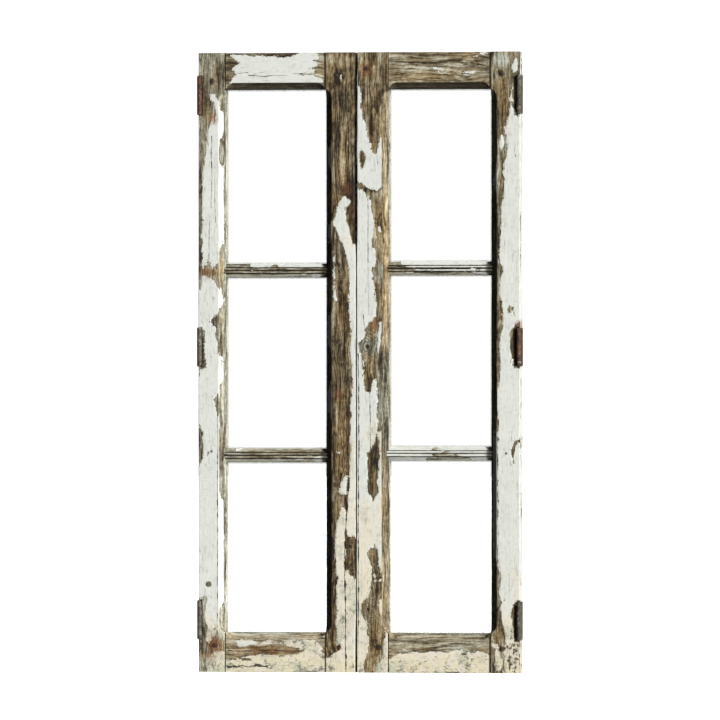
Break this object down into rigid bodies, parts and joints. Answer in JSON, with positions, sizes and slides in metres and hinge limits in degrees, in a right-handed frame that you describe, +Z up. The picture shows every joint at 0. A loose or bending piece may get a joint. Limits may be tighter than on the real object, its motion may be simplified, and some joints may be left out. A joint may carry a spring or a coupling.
{
  "type": "casement window",
  "caption": "Pair of tall wooden casement leaves with glazing bars, puttied panes and butt hinges along both outer edges, in flaking white paint.",
  "frame": {"origin": "bottom centre of the closed pair's bounding box", "axes": "+Z up the stiles, +X to the right seen from the room, +Y outdoors: the moulded room face and the hinge barrels look toward -Y"},
  "size_m": [0.6548, 0.0458, 1.24],
  "materials": {
    "painted_wood": "flaking white oil paint on grey weathered softwood",
    "bare_wood": "weathered bare softwood",
    "glass": "clear drawn sheet glass, 3 mm",
    "putty": "old linseed putty, hard and cracked",
    "rusty_iron": "rusted wrought iron",
    "sprig_steel": "dull steel sprigs"
  },
  "bodies": {
    "frame_hinges": {"left_bottom_frame_hinge": "rusty_iron", "left_bottom_hinge_pin": "rusty_iron", "left_middle_frame_hinge": "rusty_iron", "left_middle_hinge_pin": "rusty_iron", "left_top_frame_hinge": "rusty_iron", "left_top_hinge_pin": "rusty_iron", "right_bottom_frame_hinge": "rusty_iron", "right_bottom_hinge_pin": "rusty_iron", "right_middle_frame_hinge": "rusty_iron", "right_middle_hinge_pin": "rusty_iron", "right_top_frame_hinge": "rusty_iron", "right_top_hinge_pin": "rusty_iron"},
    "left_leaf": {"left_hinge_stile": "painted_wood", "left_meeting_stile": "painted_wood", "left_top_rail": "painted_wood", "left_bottom_rail": "painted_wood", "left_upper_glazing_bar": "painted_wood", "left_lower_glazing_bar": "painted_wood", "left_top_pane": "glass", "left_top_putty": "putty", "left_middle_pane": "glass", "left_middle_putty": "putty", "left_bottom_pane": "glass", "left_bottom_putty": "putty", "left_bottom_sash_hinge": "rusty_iron", "left_middle_sash_hinge": "rusty_iron", "left_top_sash_hinge": "rusty_iron", "left_tenon_wedges": "bare_wood", "left_corner_nails": "rusty_iron", "left_hinge_screws": "rusty_iron", "left_glazing_sprigs": "sprig_steel", "left_stile_plug": "bare_wood"},
    "right_leaf": {"right_hinge_stile": "painted_wood", "right_meeting_stile": "painted_wood", "right_top_rail": "painted_wood", "right_bottom_rail": "painted_wood", "right_upper_glazing_bar": "painted_wood", "right_lower_glazing_bar": "painted_wood", "right_top_pane": "glass", "right_top_putty": "putty", "right_middle_pane": "glass", "right_middle_putty": "putty", "right_bottom_pane": "glass", "right_bottom_putty": "putty", "right_bottom_sash_hinge": "rusty_iron", "right_middle_sash_hinge": "rusty_iron", "right_top_sash_hinge": "rusty_iron", "right_tenon_wedges": "bare_wood", "right_corner_nails": "rusty_iron", "right_hinge_screws": "rusty_iron", "right_glazing_sprigs": "sprig_steel"}
  },
  "joints": [
    {"name": "left_leaf_swing", "type": "hinge", "parent": "frame_hinges", "child": "left_leaf", "pos_m": [-0.3226, -0.0181, 0.651], "axis": [0, 0, -1], "range_deg": [0, 110]},
    {"name": "right_leaf_swing", "type": "hinge", "parent": "frame_hinges", "child": "right_leaf", "pos_m": [0.3226, -0.0181, 0.651], "axis": [0, 0, 1], "range_deg": [0, 110]}
  ]
}
